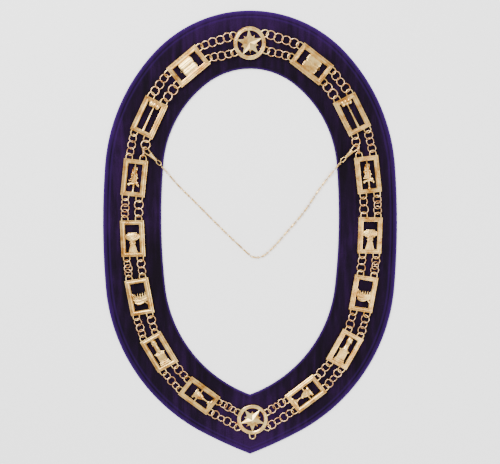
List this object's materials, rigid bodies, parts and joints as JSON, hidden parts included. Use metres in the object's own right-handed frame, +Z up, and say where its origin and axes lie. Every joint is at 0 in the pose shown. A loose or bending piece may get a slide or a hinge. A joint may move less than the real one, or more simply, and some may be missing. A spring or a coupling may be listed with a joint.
{
  "type": "chain of office",
  "caption": "Gilt openwork plaques and star medallions joined by twin strands of rings round a velvet collar, with a fine chain clipped across the neck opening",
  "frame": {"origin": "middle of the collar's bounding box in plan, on the surface that it lies on", "axes": "+Z up from the surface, +Y towards the back of the neck and the top medallion, +X to the right seen from above with the top medallion uppermost"},
  "size_m": [0.352, 0.5357, 0.0137],
  "materials": {
    "velvet": "matte pile",
    "gilt": "polished gilt"
  },
  "bodies": {
    "chain": {"drape_chain": "gilt", "left_book": "gilt", "left_column": "gilt", "left_crown": "gilt", "left_cup": "gilt", "left_gavel": "gilt", "left_hook_body": "gilt", "left_hook_swivel": "gilt", "left_inner_strand_1": "gilt", "left_inner_strand_2": "gilt", "left_inner_strand_3": "gilt", "left_inner_strand_4": "gilt", "left_inner_strand_5": "gilt", "left_inner_strand_6": "gilt", "left_inner_strand_7": "gilt", "left_inner_strand_8": "gilt", "left_outer_strand_1": "gilt", "left_outer_strand_2": "gilt", "left_outer_strand_3": "gilt", "left_outer_strand_4": "gilt", "left_outer_strand_5": "gilt", "left_outer_strand_6": "gilt", "left_outer_strand_7": "gilt", "left_outer_strand_8": "gilt", "left_sheaf": "gilt", "left_sword": "gilt", "medallion_bottom": "gilt", "medallion_top": "gilt", "right_book": "gilt", "right_column": "gilt", "right_crown": "gilt", "right_cup": "gilt", "right_gavel": "gilt", "right_hook_body": "gilt", "right_hook_swivel": "gilt", "right_inner_strand_1": "gilt", "right_inner_strand_2": "gilt", "right_inner_strand_3": "gilt", "right_inner_strand_4": "gilt", "right_inner_strand_5": "gilt", "right_inner_strand_6": "gilt", "right_inner_strand_7": "gilt", "right_inner_strand_8": "gilt", "right_outer_strand_1": "gilt", "right_outer_strand_2": "gilt", "right_outer_strand_3": "gilt", "right_outer_strand_4": "gilt", "right_outer_strand_5": "gilt", "right_outer_strand_6": "gilt", "right_outer_strand_7": "gilt", "right_outer_strand_8": "gilt", "right_sheaf": "gilt", "right_sword": "gilt", "velvet_band": "velvet"},
    "left_gate": {"left_hook_gate": "gilt"},
    "right_gate": {"right_hook_gate": "gilt"}
  },
  "joints": [
    {"name": "left_gate_hinge", "type": "hinge", "parent": "chain", "child": "left_gate", "pos_m": [-0.11624, 0.10286, 0.00762], "axis": [0.0984, -0.0984, 0.9903], "range_deg": [0, 20], "stiffness_Nm_per_rad": 0.02},
    {"name": "right_gate_hinge", "type": "hinge", "parent": "chain", "child": "right_gate", "pos_m": [0.11835, 0.1065, 0.00762], "axis": [0.0984, 0.0984, -0.9903], "range_deg": [0, 20], "stiffness_Nm_per_rad": 0.02}
  ]
}
